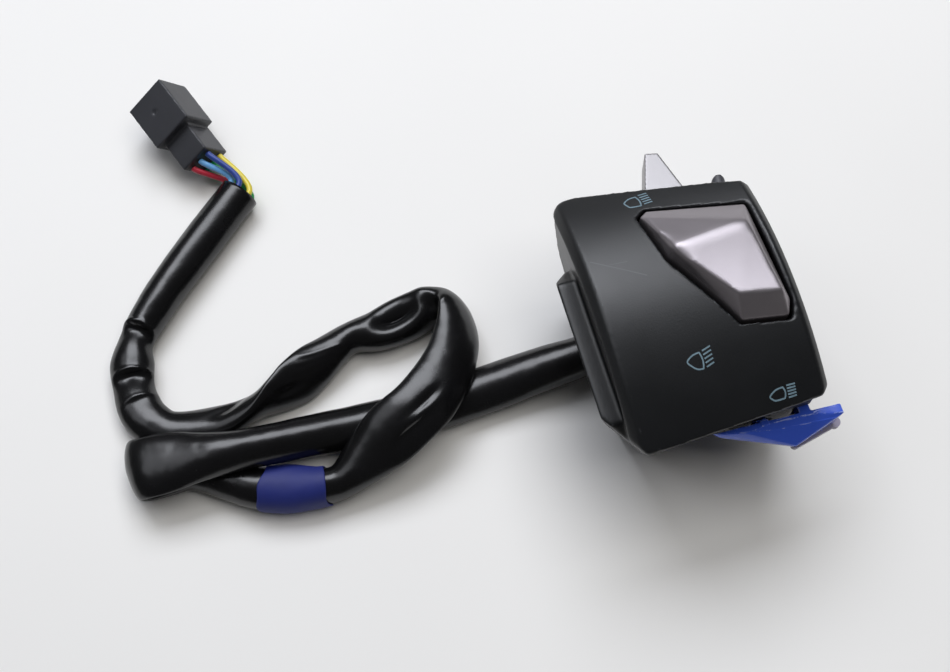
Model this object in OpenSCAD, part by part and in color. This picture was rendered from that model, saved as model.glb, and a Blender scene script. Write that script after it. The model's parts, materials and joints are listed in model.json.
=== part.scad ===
// Left-hand handlebar switch cluster with its cable and connector.
// The bar axis is X, towards the grip. The crowned face looks up and the flat back lies on the bench.

/* [Handlebar] */
// Diameter of the handlebar that the two halves clamp
bar_d = 22.2; // [21:0.1:23]

/* [Housing] */
// Length of the housing along the bar
shell_len = 49; // [48:0.5:56]
// Thickness of the moulded walls
wall = 2.4; // [2:0.1:2.6]
// Height of the face's crown above the bar axis
face_rise = 30; // [29:0.5:34]
// Radius of the crowned face
face_rad = 73; // [68:1:90]
// Offset of the crown from the bar axis, away from the flash lever
face_shift = 4; // [3:0.5:6]
// Distance from the bar axis to the face's edge over the flash lever
edge_low = 28.35; // [27:0.05:31]
// Distance from the bar axis to the face's far edge, at mid-length
edge_high = 35.5; // [35:0.5:38]
// Turn of the far wall in plan
high_turn = 12.3; // [9:0.1:13]
// Turn of the wall by the flash lever in plan
low_turn = 3.8; // [0:0.1:6]
// Lean of the front half's wall by the flash lever
low_lean = 16; // [15:0.5:18]
// Lean of the front half's far wall
high_lean = 10; // [8:0.5:12]
// Lean of the rear half's wall by the flash lever
rear_low_lean = 13; // [8:0.5:14]
// Lean of the rear half's far wall
rear_high_lean = 20; // [10:0.5:22]
// Lean of the front half's end wall at the cable
end_lean = 5; // [2:0.5:6]
// Lean of the rear half's end wall at the cable
rear_end_lean = 9; // [4:0.5:10]
// Depth of the flat back behind the bar axis
back_depth = 23; // [22.5:0.5:26]
// Bevel along the cable end of the face
bevel_left = 2.2; // [1:0.1:2.6]
// Bevel along the grip end of the face
bevel_right = 2; // [1:0.1:2.6]
// Overhang of the face's lip at the cable end
lip_over = 1.2; // [0.4:0.1:2]
// Thickness of that lip
lip_t = 2.8; // [2.7:0.1:3.4]
// Leg of the cut corner of the face by the grip
corner_leg = 2.2; // [1:0.1:5]
// Depth of the cut corner between the cable end and the flash lever
foot_cut = 3.1; // [2:0.1:5]
// Lean of that cut on the front half
foot_lean = 16.6; // [14:0.1:18]
// Lean of that cut on the rear half
rear_foot_lean = 18.5; // [12:0.1:20]
// Radius of the round corner of the face by the cable
corner_round = 5; // [2:0.5:6]

/* [Bar collar] */
// Reach of the collar past the end wall
collar_len = 4.9; // [3:0.1:7]
// Thickness of the front collar over the bar
collar_wall = 5.9; // [3:0.1:7]
// Half width of the front collar's flat top
collar_flat = 19; // [15:0.1:20]
// Width of the front collar's sloping shoulders
collar_slope = 5; // [2:0.1:6]
// Lean of the collar's end
collar_lean = 12; // [5:0.5:12]

/* [Screws] */
// Thread radius of the clamp screws
clamp_r = 2; // [1.5:0.1:2.2]
// Distance of the clamp screws from the bar's surface
clamp_off = 3.4; // [3:0.1:5]
// Thread radius of the small screws
small_r = 1.25; // [1:0.05:1.4]

/* [Beam rocker] */
// Gap between the rocker and its window
rocker_gap = 0.8; // [0.75:0.05:1]
// Depth of the rocker's pin below the face
pin_drop = 5.1; // [4.8:0.1:6]
// Radius of the rocker's pin
pin_r = 1.5; // [1:0.1:1.8]
// Height of the rocker's flat above the face
rocker_lift = 5; // [3:0.1:7]

/* [Turn lever] */
// Travel of the turn lever to each side
turn_travel = 2.5; // [1.5:0.1:2.5]
// Width of the fin at the wall
fin_base = 12.2; // [9:0.1:12.6]
// Height of the fin at the wall
fin_h = 9.4; // [7:0.1:9.6]
// Width of the fin's tip
fin_tip = 3.4; // [2:0.1:5]
// Reach of the fin out of the wall
fin_reach = 15.2; // [8:0.1:16]

/* [Horn button] */
// Width of the horn button
horn_w = 3.7; // [3:0.1:3.8]
// Height of the horn button
horn_h = 10.4; // [8:0.1:10.6]
// Reach of the horn button out of the wall
horn_reach = 6.7; // [5:0.1:8]
// Travel of the horn button
horn_travel = 2.5; // [1.5:0.1:2.5]

/* [Flash lever] */
// Height of the lever's top above the bar axis
flash_top = 14; // [13:0.1:14.4]
// Height of the lever from its base to its top
flash_h = 8; // [7:0.1:10]
// Reach of the finger pad past the lever's back
flash_reach = 5.9; // [5:0.1:8]
// Length of the lever
flash_len = 31.8; // [28:0.1:34]
// Radius of the lever's pivot pin
flash_pin_r = 1.2; // [0.8:0.1:1.4]

/* [Cable] */
// Outer diameter of the cable sleeve
sleeve_d = 10.4; // [9:0.1:10.6]
// Thickness of the vinyl tape round the sleeve
tape_t = 0.5; // [0.2:0.1:0.6]
// Diameter of one wire
wire_d = 1.7; // [1.2:0.1:1.8]

/* [Connector] */
// Length of the connector's socket block
plug_len = 14.5; // [12:0.1:18]
// Width of the socket block
plug_w = 13.4; // [12:0.1:15]
// Thickness of the socket block
plug_t = 12.9; // [12:0.1:14]
// Length of the narrower wire block
tail_len = 9.3; // [7:0.1:12]

/* [Hidden] */
$fn = 48;

// Clearances
run_gap = 0.06;
pin_seat_gap = 0.02;
slide_gap = 0.3;
contact_gap = 0.3;
bar_gap = 1.4;
reach = 120;
half = shell_len / 2;
bar_r = bar_d / 2;
sleeve_r = sleeve_d / 2;
left_wall_x = -half + lip_over;
right_in = half - wall;
// The end wall at the cable leans from this height down to the split, and on below it
end_top = 20;
end_split_x = left_wall_x + end_top * tan(end_lean);

// Height of the face at a distance y from the bar axis
function face_z(y) = sqrt(pow(face_rad, 2) - pow(y - face_shift, 2)) + face_rise - face_rad;
// Lines where the side walls cross the split plane
low_y0 = -edge_low + face_z(-edge_low) * tan(low_lean) / cos(low_turn);
high_y0 = edge_high - face_z(edge_high) * tan(high_lean) / cos(high_turn);
function low_y(x, z) = low_y0 + x * tan(low_turn) - z * tan(low_lean) / cos(low_turn);
function high_y(x, z) = high_y0 - x * tan(high_turn) + z * tan(high_lean) / cos(high_turn);

// The cut foot corner: the way it faces, and its distance from the axis at the split
foot_turn = 213.8;
foot_off = [cos(foot_turn), sin(foot_turn)] * [end_split_x, low_y(end_split_x, 0)] - foot_cut;

// Clamp screws
clamp_places = [[0, -bar_r - clamp_off], [12, bar_r + clamp_off + 1.5]];
clamp_head_r = clamp_r * 1.6;
clamp_head_t = clamp_r * 1.2;
clamp_boss_r = clamp_r + 1.8;
clamp_boss_h = 10;
clamp_seat = 12;
clamp_len = clamp_seat + clamp_boss_h - 2;
thread_gap = 0.05;

// Switch base, a plate just over the bar
base_t = 2;
base_z0 = bar_r + bar_gap;
base_z1 = base_z0 + base_t;
base_left = 7.5 - half;
base_right = half - 4;
base_low = low_y0 + 5.1;
base_places = [[-14, -13], [-14, 20], [15.5, -13.2]];
base_boss_r = small_r + 1.5;
base_thread = 6;
base_head_r = small_r * 1.8;
base_head_t = 1.5;

// Rocker: plan of its base, anticlockwise, and the points of its top as x, y, lift over the face
rocker_plan = [[-5.2, 26.6], [-2.8, 13.4], [8.4, -6.3], [19.4, -7.9], [20.7, -4.6], [20, 22.8],
    [-3.2, 28]];
rocker_low_lift = 1.6;
rocker_top = [[-4.2, 25.2, rocker_low_lift], [18.4, 20.8, rocker_low_lift], [-2.2, 13.9, rocker_lift],
    [17, 15.8, rocker_lift], [8.4, -1.4, rocker_lift], [18.2, -3.2, rocker_lift]];
rocker_skirt = 8.6;
pivot_y = 9;
pivot_z = face_z(pivot_y) - pin_drop;
skirt_z = face_z(pivot_y) - rocker_skirt;
hub_x = [9, 15];
lug_t = 2.4;
lug_gap = 0.6;
lug_r = pin_r + 0.8;
pocket_x = [5, 19];
pocket_half = 6;
finger_half = 2.2;
beam_contact_t = 1.4;
beam_wiper_t = 0.6;
finger_z = base_z1 + beam_contact_t + contact_gap + beam_wiper_t;
ball_r = 1.2;
ball_bore = ball_r + 0.08;
ball_show = 0.8;

// Places in the far wall's own frame: u along the wall, w out of it, v up it
turn_u = half - 19.1;
turn_v = face_rise - 17;
tip_shift = -2.7;
tip_low = 1.2;
tip_high = 5.6;
slot_half = fin_base / 2 + 0.4 + turn_travel;
slider_t = 1.6;
slider_lap = 1.5;
slider_left = 10.5;
slider_right = 8.4;
slider_back = wall + slide_gap + slider_t;
bridge_t = 2.6;
turn_contact_t = 1;
up_depth = slider_back + bridge_t + contact_gap + turn_contact_t;
up_t = 1.6;
up_v0 = base_z0 - 1.1;
up_v1 = face_rise - 12;
up_left = half - 28;
up_right = half - 3.5;
contact_v = face_rise - 14.8;
contact_pitch = 3.5;
contact_u = half - 13.6;
turn_ball_u = half - 22.8;
ball_clear = 0.3;
boss_r = ball_r + 1;
horn_u = half - 5.9;
horn_v = face_rise - 15.8;
horn_back = wall + slide_gap + 1.3;
horn_lip = 1;
horn_strip_t = 0.6;
horn_rivet = up_depth - horn_strip_t - contact_gap - horn_travel - horn_back;
spring_r = 1.2;
spring_wire = 0.45;
spring_gap = 0.05;
press_spring_r = 0.9;
press_bore = press_spring_r + 0.15;
press_v = horn_v + 1.9;
horn_spring_end = 1.6;

// Flash lever
flash_back = -edge_low + 0.85;
flash_z0 = flash_top - flash_h;
flash_end = half + 4;
flash_pivot = [flash_end - 19, base_low - 2.2];
flash_stem_x = flash_end - 8.7;
// Its corners as shares of the length from the end, the reach past its back, and the height from its top
flash_form = [[1, -0.153, 0], [0, 0, 0], [0.003, 0.39, 0], [0.786, 0.102, 0], [0.384, 1, 0.65],
    [0.384, 0.881, 1], [0.943, -0.068, 0.3125], [0.7075, -0.034, 1], [0.0157, 0, 1], [0.0157, 0.373, 1]];
// Raised pad of the shell behind the lever
pad_gap = 1.3;
pad_low = flash_top - 6;
pad_high = flash_top + 3;
stem_w = 2.8;
stem_h = 4;
stem_end = base_low - 4;
arm_h = 3.3;
arm_w = 2.6;
arm_top = base_z0 - 0.3;
hole_gap = 0.9;
flash_strip_t = 0.6;
flash_swing = 1.1;

// Cable hole through the rear half's end wall
cable_y = 11.5;
cable_z = -15;
cable_x = end_split_x - cable_z * tan(rear_end_lean);
grommet_hole = sleeve_r + 0.8;
grommet_flange = sleeve_r + 1.7;
grommet_flange_t = 1.1;
table_z = -back_depth;
lay_z = table_z + sleeve_r;
tail_r = 2.8;
clip_x = -10.5;
clip_t = 1.1;
clip_w = 4.4;
clip_foot_y = 19.2;
clip_gap = 0.8;

inner_x = cable_x + wall + grommet_flange_t + 0.3;
// Route of the sleeve on the bench, chosen by eye; z is the height of its middle over lay_z
route = [[inner_x, cable_y, cable_z - lay_z + 0.5], [-22, 11.4, 2.3], [-31, 10.7, 1], [-40, 10, 0.1],
    [-50, 9.2, 0], [-62, 8.6, 0], [-74, 8.6, 0.2], [-86, 9, 1.2], [-99, 9.8, 3.4], [-112, 10.4, 6],
    [-123, 11, 8], [-131.5, 11.5, 8.9], [-137.2, 10.9, 8.1], [-139.8, 8.6, 5], [-137.8, 5.4, 1.6],
    [-131.5, 3.4, 0.2], [-122, 1, 0.4], [-111.5, -2.4, 0.7], [-101, -5, 0.7], [-90.5, -6.4, 1.6],
    [-80.5, -5.4, 5.8], [-71, -1.8, 10], [-62.4, 4.8, 11.4], [-55.2, 13.6, 10.4], [-50.6, 23.6, 6],
    [-50.8, 32.4, 2], [-56.4, 37.4, 0.2], [-65, 37.4, 0], [-77, 33.8, 0], [-89, 30.6, 0],
    [-100.5, 28, 0], [-112, 25.6, 0], [-122, 23.4, 0], [-130.4, 22.8, 0], [-136.8, 26.2, 0],
    [-140, 33, 0], [-139.8, 41, 0], [-135.6, 49.4, 0], [-125, 61.2, 0], [-112, 73.2, 0],
    [-99.8, 85.2, 0]];
sleeve_points = [for (p = route) [p.x, p.y, p.z + lay_z]];
sleeve_curve = spline(sleeve_points, 2);
tape_points = [for (i = [17:19]) sleeve_points[i]];
// Route of the wires inside the housing, from the grommet to the switch base
tail_low = cable_z - 0.2;
tail_points = [[inner_x + 1.3, cable_y, cable_z + 0.3], [clip_x - 2, 11.7, tail_low],
    [clip_x + 2, 11.9, tail_low], [-5, 14, -13], [-3.2, 17.6, -7], [-2.6, 19.4, 1],
    [-2.4, 19.6, base_z0 - 0.3]];

// Connector on the bench, and the six wires between it and the sleeve
plug_place = [-113.4, 111.8, -12.6];
plug_turn = [31, 4.5, -68];
tail_w = 9.5;
tail_t = 11.2;
tail_shift = [-0.6, -1.8];
slot_w = 3;
slot_t = 1.1;
slot_pitch = [4, 5];
slot_depth = 9;
terminal_len = 6;
terminal_gap = 0.2;
dimple_r = 0.8;
wire_ring = 3.6;
wire_pitch = [3.1, 6];
wire_seats = [5, 2, 1, 0, 3, 4];
wire_leave = 4;
wire_enter = 2;
wire_end_gap = 0.35;
wire_sides = 8;
sleeve_sides = 10;

function unit(v) = v / norm(v);
// A point on the smooth curve through p, a share t of the way from point i to the next
function spline_at(p, i, t) =
    let (a = p[max(i - 1, 0)], b = p[i], c = p[i + 1], d = p[min(i + 2, len(p) - 1)])
    (2 * b + (c - a) * t + (2 * a - 5 * b + 4 * c - d) * t * t + (3 * b - a - 3 * c + d) * t * t * t) / 2;
function spline(p, steps) =
    concat([for (i = [0:len(p) - 2]) for (k = [0:steps - 1]) spline_at(p, i, k / steps)],
        [p[len(p) - 1]]);
function heading(c, i) = unit(c[min(i + 1, len(c) - 1)] - c[max(i - 1, 0)]);
function square_to(n, t) = unit(n - t * (n * t));
// One sideways direction per ring, carried along the curve without twist
function sideways(c) =
    [for (i = 0, n = square_to([0.1, 0.2, 1], heading(c, 0)); i < len(c);
        i = i + 1, n = i < len(c) ? square_to(n, heading(c, i)) : n) n];
// A polygon's outline moved outwards by d; its points run anticlockwise
function outward(a, b) = [b.y - a.y, a.x - b.x] / norm(b - a);
function grown(p, d) =
    [for (i = [0:len(p) - 1])
        let (n1 = outward(p[(i + len(p) - 1) % len(p)], p[i]), n2 = outward(p[i], p[(i + 1) % len(p)]))
        p[i] + (n1 + n2) * d / (1 + n1 * n2)];
function turned_x(v, a) = [v.x, v.y * cos(a) - v.z * sin(a), v.y * sin(a) + v.z * cos(a)];
function turned_y(v, a) = [v.x * cos(a) + v.z * sin(a), v.y, v.z * cos(a) - v.x * sin(a)];
function turned_z(v, a) = [v.x * cos(a) - v.y * sin(a), v.x * sin(a) + v.y * cos(a), v.z];
function on_plug(v) = plug_place + turned_z(turned_y(turned_x(v, plug_turn.x), plug_turn.y), plug_turn.z);

// Least gap between two stretches of the sleeve that lie more than three diameters apart along it
sleeve_steps = [for (i = 0, s = 0; i < len(sleeve_curve); i = i + 1,
    s = i < len(sleeve_curve) ? s + norm(sleeve_curve[i] - sleeve_curve[i - 1]) : s) s];
sleeve_gaps = [for (i = [0:len(sleeve_curve) - 1]) for (j = [i + 1:1:len(sleeve_curve) - 1])
    if (sleeve_steps[j] - sleeve_steps[i] > 3 * sleeve_d)
        norm(sleeve_curve[i] - sleeve_curve[j]) - sleeve_d];
echo(sleeve_length = sleeve_steps[len(sleeve_steps) - 1], least_sleeve_gap = min(sleeve_gaps));

// A round tube along the curve c
module tube(c, r, sides) {
    side = sideways(c);
    last = len(c) - 1;
    rings = [for (i = [0:last]) for (k = [0:sides - 1])
        let (t = heading(c, i), a = 360 * k / sides)
        c[i] + r * (side[i] * cos(a) + cross(t, side[i]) * sin(a))];
    walls = [for (i = [0:last - 1]) for (k = [0:sides - 1])
        let (p = i * sides + k, q = i * sides + (k + 1) % sides)
        each [[p, p + sides, q], [q, p + sides, q + sides]]];
    start = [for (k = [1:sides - 2]) [0, k, k + 1]];
    finish = [for (k = [1:sides - 2]) [last * sides, last * sides + k + 1, last * sides + k]];
    polyhedron(points = rings, faces = concat(walls, start, finish));
}

// Coordinates of the far wall: x along it, y out of it, z up it
module on_high_wall() {
    translate([0, high_y0, 0])
        rotate([0, 0, -high_turn])
            rotate([-high_lean, 0, 0])
                children();
}

// A cylinder along X, or along Y, starting at a point
module along_x(r, h) {
    rotate([0, 90, 0]) cylinder(r = r, h = h);
}

module along_y(r, h) {
    rotate([-90, 0, 0]) cylinder(r = r, h = h);
}

module spring_tube(r, h) {
    difference() {
        cylinder(r = r, h = h);
        translate([0, 0, -1]) cylinder(r = r - spring_wire, h = h + 2);
    }
}

// Everything on the housing's side of the wall by the flash lever, and of the far wall
module low_side(lean, inset) {
    translate([0, low_y0, 0])
        rotate([0, 0, low_turn])
            rotate([lean, 0, 0])
                translate([-reach, inset, -reach])
                    cube(2 * reach);
}

// What lies inside the cut foot corner
module foot_side(lean, inset) {
    rotate([0, 0, foot_turn])
        translate([foot_off, 0, 0])
            rotate([0, lean, 0])
                translate([-2 * reach - inset, -reach, -reach])
                    cube(2 * reach);
}

module high_side(lean, inset) {
    translate([0, high_y0, 0])
        rotate([0, 0, -high_turn])
            rotate([-lean, 0, 0])
                translate([-reach, -2 * reach - inset, -reach])
                    cube(2 * reach);
}

// Solid of revolution under the crowned face; the profile gives radius and place along the bar
module crowned(profile) {
    translate([0, face_shift, face_rise - face_rad])
        rotate([0, 90, 0])
            rotate_extrude($fn = 180)
                polygon(profile);
}

// Everything on the housing's side of a leaning end face that crosses height z at x
module end_side(x, z, lean) {
    translate([x, 0, z])
        rotate([0, -lean, 0])
            translate([0, -reach, -reach])
                cube(2 * reach);
}

module front_half_space() {
    translate([-reach, -reach, 0]) cube(2 * reach);
}

core_r = (face_rad - face_rise) / 2;
outer_profile = [[core_r, -half], [face_rad - bevel_left, -half], [face_rad, bevel_left - half],
    [face_rad, half - bevel_right], [face_rad - bevel_right, half], [core_r, half]];
under_lip_profile = [[core_r - 1, -half - 1], [face_rad - lip_t, -half - 1],
    [face_rad - lip_t, left_wall_x + wall], [core_r - 1, left_wall_x + wall]];
inner_profile = [[core_r, -half], [face_rad - wall, -half], [face_rad - wall, right_in],
    [core_r, right_in]];

module grip_corner_cut() {
    translate([half, half * tan(low_turn) - edge_low, 0])
        rotate([0, 0, 45])
            translate([-2 * corner_leg, -3 * corner_leg, -reach])
                cube([4 * corner_leg, 3 * corner_leg + corner_leg / sqrt(2), 2 * reach]);
}

// What lies outside the round corner between the cable end and the far wall
module cable_corner_cut() {
    top_y = high_y(-half, face_z(edge_high + half * tan(high_turn)));
    out = [sin(high_turn), cos(high_turn)];
    mid = [corner_round - half, top_y - corner_round * tan(high_turn) - corner_round / cos(high_turn)];
    linear_extrude(reach)
        difference() {
            polygon([[-half - 1, mid.y], mid, mid + out * (corner_round + 1),
                [-half - 1, top_y + corner_round]]);
            translate(mid) circle(r = corner_round, $fn = 64);
        }
}

module front_form() {
    difference() {
        intersection() {
            crowned(outer_profile);
            low_side(low_lean, 0);
            foot_side(foot_lean, 0);
            high_side(high_lean, 0);
            front_half_space();
        }
        difference() {
            crowned(under_lip_profile);
            end_side(left_wall_x, end_top, end_lean);
        }
        cable_corner_cut();
        grip_corner_cut();
    }
}

module front_cavity() {
    intersection() {
        crowned(inner_profile);
        end_side(left_wall_x + wall, end_top, end_lean);
        low_side(low_lean, wall);
        foot_side(foot_lean, wall);
        high_side(high_lean, wall);
        translate([-reach, -reach, -1]) cube(2 * reach);
    }
}

module bar_space() {
    translate([-reach, 0, 0]) along_x(bar_r, 2 * reach, $fn = 96);
}

// What lies to the left of the line from a to b in the collar's plan
module collar_cut(a, b) {
    translate(a)
        rotate([0, 0, atan2(b.y - a.y, b.x - a.x)])
            translate([-reach, 0, 0])
                cube([2 * reach, reach, reach]);
}

module front_collar() {
    top = bar_r + collar_wall;
    side = collar_flat + collar_slope;
    foot = side - collar_slope * 0.65;
    tip = left_wall_x - collar_len;
    profile = [[-foot, 0], [foot, 0], [side, top - collar_slope], [collar_flat, top], [-collar_flat, top],
        [-side, top - collar_slope]];
    difference() {
        intersection() {
            rotate([90, 0, 90])
                translate([0, 0, tip - 1])
                    linear_extrude(collar_len + 1 + wall - 0.2)
                        polygon(profile);
            end_side(tip, top, collar_lean);
            foot_side(foot_lean, 0.05);
        }
        collar_cut([tip, collar_flat + 0.8], [left_wall_x, side + 0.8]);
        collar_cut([left_wall_x, 1.3 - side], [tip, 0.8 - collar_flat]);
    }
}

// Columns under the face and beside the bar, trimmed to the inside of the shell
module front_bosses() {
    intersection() {
        crowned([[core_r, -half], [face_rad - wall + 0.4, -half], [face_rad - wall + 0.4, right_in + 0.4],
            [core_r, right_in + 0.4]]);
        end_side(left_wall_x + wall - 0.4, end_top, end_lean);
        low_side(low_lean, wall - 0.4);
        foot_side(foot_lean, wall - 0.4);
        high_side(high_lean, wall - 0.4);
        union() {
            for (p = base_places)
                translate([p.x, p.y, base_z1])
                    cylinder(r = base_boss_r, h = face_rise);
            for (p = clamp_places) {
                translate(p) cylinder(r = clamp_boss_r, h = clamp_boss_h);
                rib_y = p.y < 0 ? -reach : p.y;
                translate([p.x - 1, rib_y, 0]) cube([2, p.y < 0 ? p.y + reach : reach, clamp_boss_h / 2]);
            }
        }
    }
}

module rocker_window() {
    translate([0, 0, base_z1])
        linear_extrude(2 * face_rise)
            polygon(grown(rocker_plan, rocker_gap));
}

module turn_slot() {
    on_high_wall()
        translate([turn_u - slot_half, -wall - 1, turn_v - fin_h / 2 - slide_gap])
            cube([2 * slot_half, wall + 2, fin_h + 2 * slide_gap]);
}

module horn_pill(grow, h) {
    straight = horn_h - horn_w;
    r = horn_w / 2 + grow;
    rotate([-90, 0, 0])
        linear_extrude(h)
            union() {
                translate([-r, -straight / 2]) square([2 * r, straight]);
                for (s = [-1, 1])
                    translate([0, s * straight / 2]) circle(r = r);
            }
}

module horn_slot() {
    on_high_wall()
        translate([horn_u, -wall - 1, horn_v])
            horn_pill(slide_gap, wall + 2);
}

// Holes in the near wall for the flash lever's pivot arm and stem
module flash_holes() {
    depth = 8;
    translate([flash_pivot.x - arm_w / 2 - hole_gap, low_y0 - depth, arm_top - arm_h - slide_gap])
        cube([arm_w + 2 * hole_gap, depth + wall + 1, arm_h + 2 * slide_gap]);
    translate([flash_stem_x - stem_w / 2 - hole_gap, low_y0 - depth, flash_top - stem_h - slide_gap])
        cube([stem_w + 2 * hole_gap, depth + wall + 1, stem_h + 2 * slide_gap]);
}

// Pad on the near wall that the lever lies against
module flash_pad() {
    pad_y = flash_back + pad_gap;
    x0 = flash_pivot.x - 8.5;
    x1 = half - 3;
    translate([0, 0, pad_low])
        linear_extrude(pad_high - pad_low)
            polygon([[x0, pad_y], [flash_pivot.x, pad_y], [x1, pad_y + 0.3], [x1, low_y0 - 0.6],
                [x0, low_y0 - 1.6]]);
}

module front_shell() {
    color("#2b2c2f")
        difference() {
            union() {
                difference() {
                    union() {
                        front_form();
                        flash_pad();
                    }
                    front_cavity();
                }
                front_collar();
                front_bosses();
            }
            bar_space();
            rocker_window();
            turn_slot();
            horn_slot();
            flash_holes();
            for (p = base_places)
                translate([p.x, p.y, base_z1 - 1])
                    cylinder(r = small_r + thread_gap, h = base_thread + 1);
            for (p = clamp_places)
                translate([p.x, p.y, -1])
                    cylinder(r = clamp_r + thread_gap, h = clamp_boss_h);
        }
}

module rear_form(inset) {
    intersection() {
        low_side(rear_low_lean, inset);
        foot_side(rear_foot_lean, inset);
        high_side(rear_high_lean, inset);
        end_side(end_split_x + inset, 0, rear_end_lean);
        translate([-half, -reach, inset - back_depth])
            cube([shell_len - inset, 2 * reach, back_depth]);
    }
}

// Coordinates of the cable hole: the origin on the wall's outside, x into the housing
module on_cable_hole() {
    translate([cable_x, cable_y, cable_z])
        rotate([0, -rear_end_lean, 0])
            children();
}

// Saddle that the bar rests on, the screw columns and the clip's post
module rear_inside() {
    saddle_t = 2;
    intersection() {
        rear_form(0);
        union() {
            translate([1, -reach, -back_depth]) cube([saddle_t, reach + bar_r + 2, back_depth]);
            for (p = clamp_places)
                translate([p.x, p.y, -back_depth])
                    cylinder(r = clamp_head_r + 1.2, h = back_depth);
            translate([clip_x, clip_foot_y, -back_depth])
                cylinder(r = small_r + 1.3, h = back_depth + cable_z - 1);
        }
    }
}

module rear_shell() {
    color("#2b2c2f")
        difference() {
            union() {
                difference() {
                    rear_form(0);
                    rear_form(wall);
                }
                rear_inside();
            }
            bar_space();
            on_cable_hole() {
                translate([-wall, 0, 0]) along_x(grommet_hole, 3 * wall);
                translate([wall, 0, 0]) along_x(grommet_flange + 0.1, grommet_flange_t + 0.4);
            }
            for (p = clamp_places)
                translate([p.x, p.y, -back_depth - 1]) {
                    cylinder(r = clamp_r + 0.2, h = back_depth + 2);
                    cylinder(r = clamp_head_r + 0.2, h = back_depth - clamp_seat + 1);
                }
            translate([clip_x, clip_foot_y, wall + 0.6 - back_depth])
                cylinder(r = small_r + thread_gap, h = back_depth);
        }
}

// Pan-head screw, its head's bearing face at the origin and its thread along +Z
module pan_screw(r, head_r, head_t, len) {
    slot = r * 0.45;
    difference() {
        union() {
            cylinder(r = r, h = len);
            translate([0, 0, -head_t]) cylinder(r = head_r, h = head_t);
        }
        for (a = [0, 90])
            rotate([0, 0, a])
                translate([-head_r * 0.6, -slot / 2, -head_t - 1])
                    cube([head_r * 1.2, slot, head_t * 0.5 + 1]);
    }
}

module clamp_screws() {
    color("#8d9094")
        for (p = clamp_places)
            translate([p.x, p.y, -clamp_seat])
                pan_screw(clamp_r, clamp_head_r, clamp_head_t, clamp_len);
}

module base_screws() {
    color("#8d9094")
        for (p = base_places)
            translate([p.x, p.y, base_z0])
                pan_screw(small_r, base_head_r, base_head_t, base_t + base_thread - 1);
}

// Upright of the switch base that faces the far wall
module base_upright() {
    on_high_wall()
        translate([up_left, -up_depth - up_t, up_v0])
            cube([up_right - up_left, up_t, up_v1 - up_v0]);
}

module rocker_lug(x) {
    translate([x, pivot_y, pivot_z]) along_x(lug_r, lug_t);
    translate([x, pivot_y - lug_r, base_z0]) cube([lug_t, 2 * lug_r, pivot_z - base_z0]);
}

module switch_base() {
    edge = base_z0 * tan(high_lean) - (up_depth + up_t / 2) / cos(high_lean);
    tongue = 3;
    seat_x = flash_stem_x - stem_w / 2 - 0.6;
    seat_z = flash_top - stem_h - 0.6;
    color("#1d1f22")
        difference() {
            union() {
                difference() {
                    translate([base_left, base_low, base_z0])
                        cube([base_right - base_left, reach, base_t]);
                    translate([0, high_y0, 0])
                        rotate([0, 0, -high_turn])
                            translate([-reach, edge, 0])
                                cube(2 * reach);
                }
                base_upright();
                rocker_lug(hub_x[0] - lug_gap - lug_t);
                rocker_lug(hub_x[1] + lug_gap);
                translate([flash_pivot.x - tongue, flash_pivot.y - flash_pin_r - 0.8, base_z0])
                    cube([2 * tongue, 2 * tongue, base_t]);
                translate([seat_x, base_low, seat_z])
                    cube([base_right - seat_x, 1.5, base_z1 - seat_z]);
            }
            translate([hub_x[0] - reach / 2, pivot_y, pivot_z]) along_x(pin_r + pin_seat_gap, reach);
            translate([flash_pivot.x, flash_pivot.y, base_z0 - 1])
                cylinder(r = flash_pin_r + pin_seat_gap, h = base_t + 2);
            for (p = base_places)
                translate([p.x, p.y, base_z0 - 1])
                    cylinder(r = small_r + 0.15, h = base_t + 2);
        }
}

// Wedge with a low far end, a ridge and a sloping near end
module rocker_cap() {
    speck = 0.1;
    hull() {
        for (p = rocker_plan) {
            translate([p.x, p.y, skirt_z]) cylinder(r = speck, h = speck, $fn = 8);
            translate([p.x, p.y, face_z(p.y) + 0.2]) cylinder(r = speck, h = speck, $fn = 8);
        }
        for (p = rocker_top)
            translate([p.x, p.y, face_z(p.y) + p.z - speck]) cylinder(r = speck, h = speck, $fn = 8);
    }
}

module beam_rocker() {
    pocket_top = pivot_z + lug_r + 1.2;
    color("#8a8588")
        difference() {
            union() {
                difference() {
                    rocker_cap();
                    translate([pocket_x[0], pivot_y - pocket_half, skirt_z - 1])
                        cube([pocket_x[1] - pocket_x[0], 2 * pocket_half, pocket_top - skirt_z + 1]);
                }
                translate([hub_x[0], pivot_y - finger_half, finger_z])
                    cube([hub_x[1] - hub_x[0], 2 * finger_half, pocket_top + 1 - finger_z]);
            }
            translate([pocket_x[0] - 0.1, pivot_y, pivot_z])
                along_x(pin_r + run_gap, pocket_x[1] - pocket_x[0] + 0.2);
            translate([(hub_x[0] + hub_x[1]) / 2, pivot_y, finger_z - 1])
                cylinder(r = ball_bore, h = pivot_z - pin_r - 0.8 - finger_z + 1);
        }
}

module rocker_pin() {
    color("#b9bcc0")
        translate([hub_x[0] - lug_gap - lug_t + 0.2, pivot_y, pivot_z])
            along_x(pin_r, hub_x[1] - hub_x[0] + 2 * (lug_gap + lug_t) - 0.4);
}

module rocker_detent_ball() {
    color("#c6c9cc")
        translate([(hub_x[0] + hub_x[1]) / 2, pivot_y, finger_z - ball_show + ball_r])
            sphere(r = ball_r);
}

module rocker_detent_spring() {
    foot = finger_z - ball_show + 2 * ball_r + spring_gap;
    color("#9da1a6")
        translate([(hub_x[0] + hub_x[1]) / 2, pivot_y, foot])
            spring_tube(spring_r, pivot_z - pin_r - 0.8 - spring_gap - foot);
}

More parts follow.
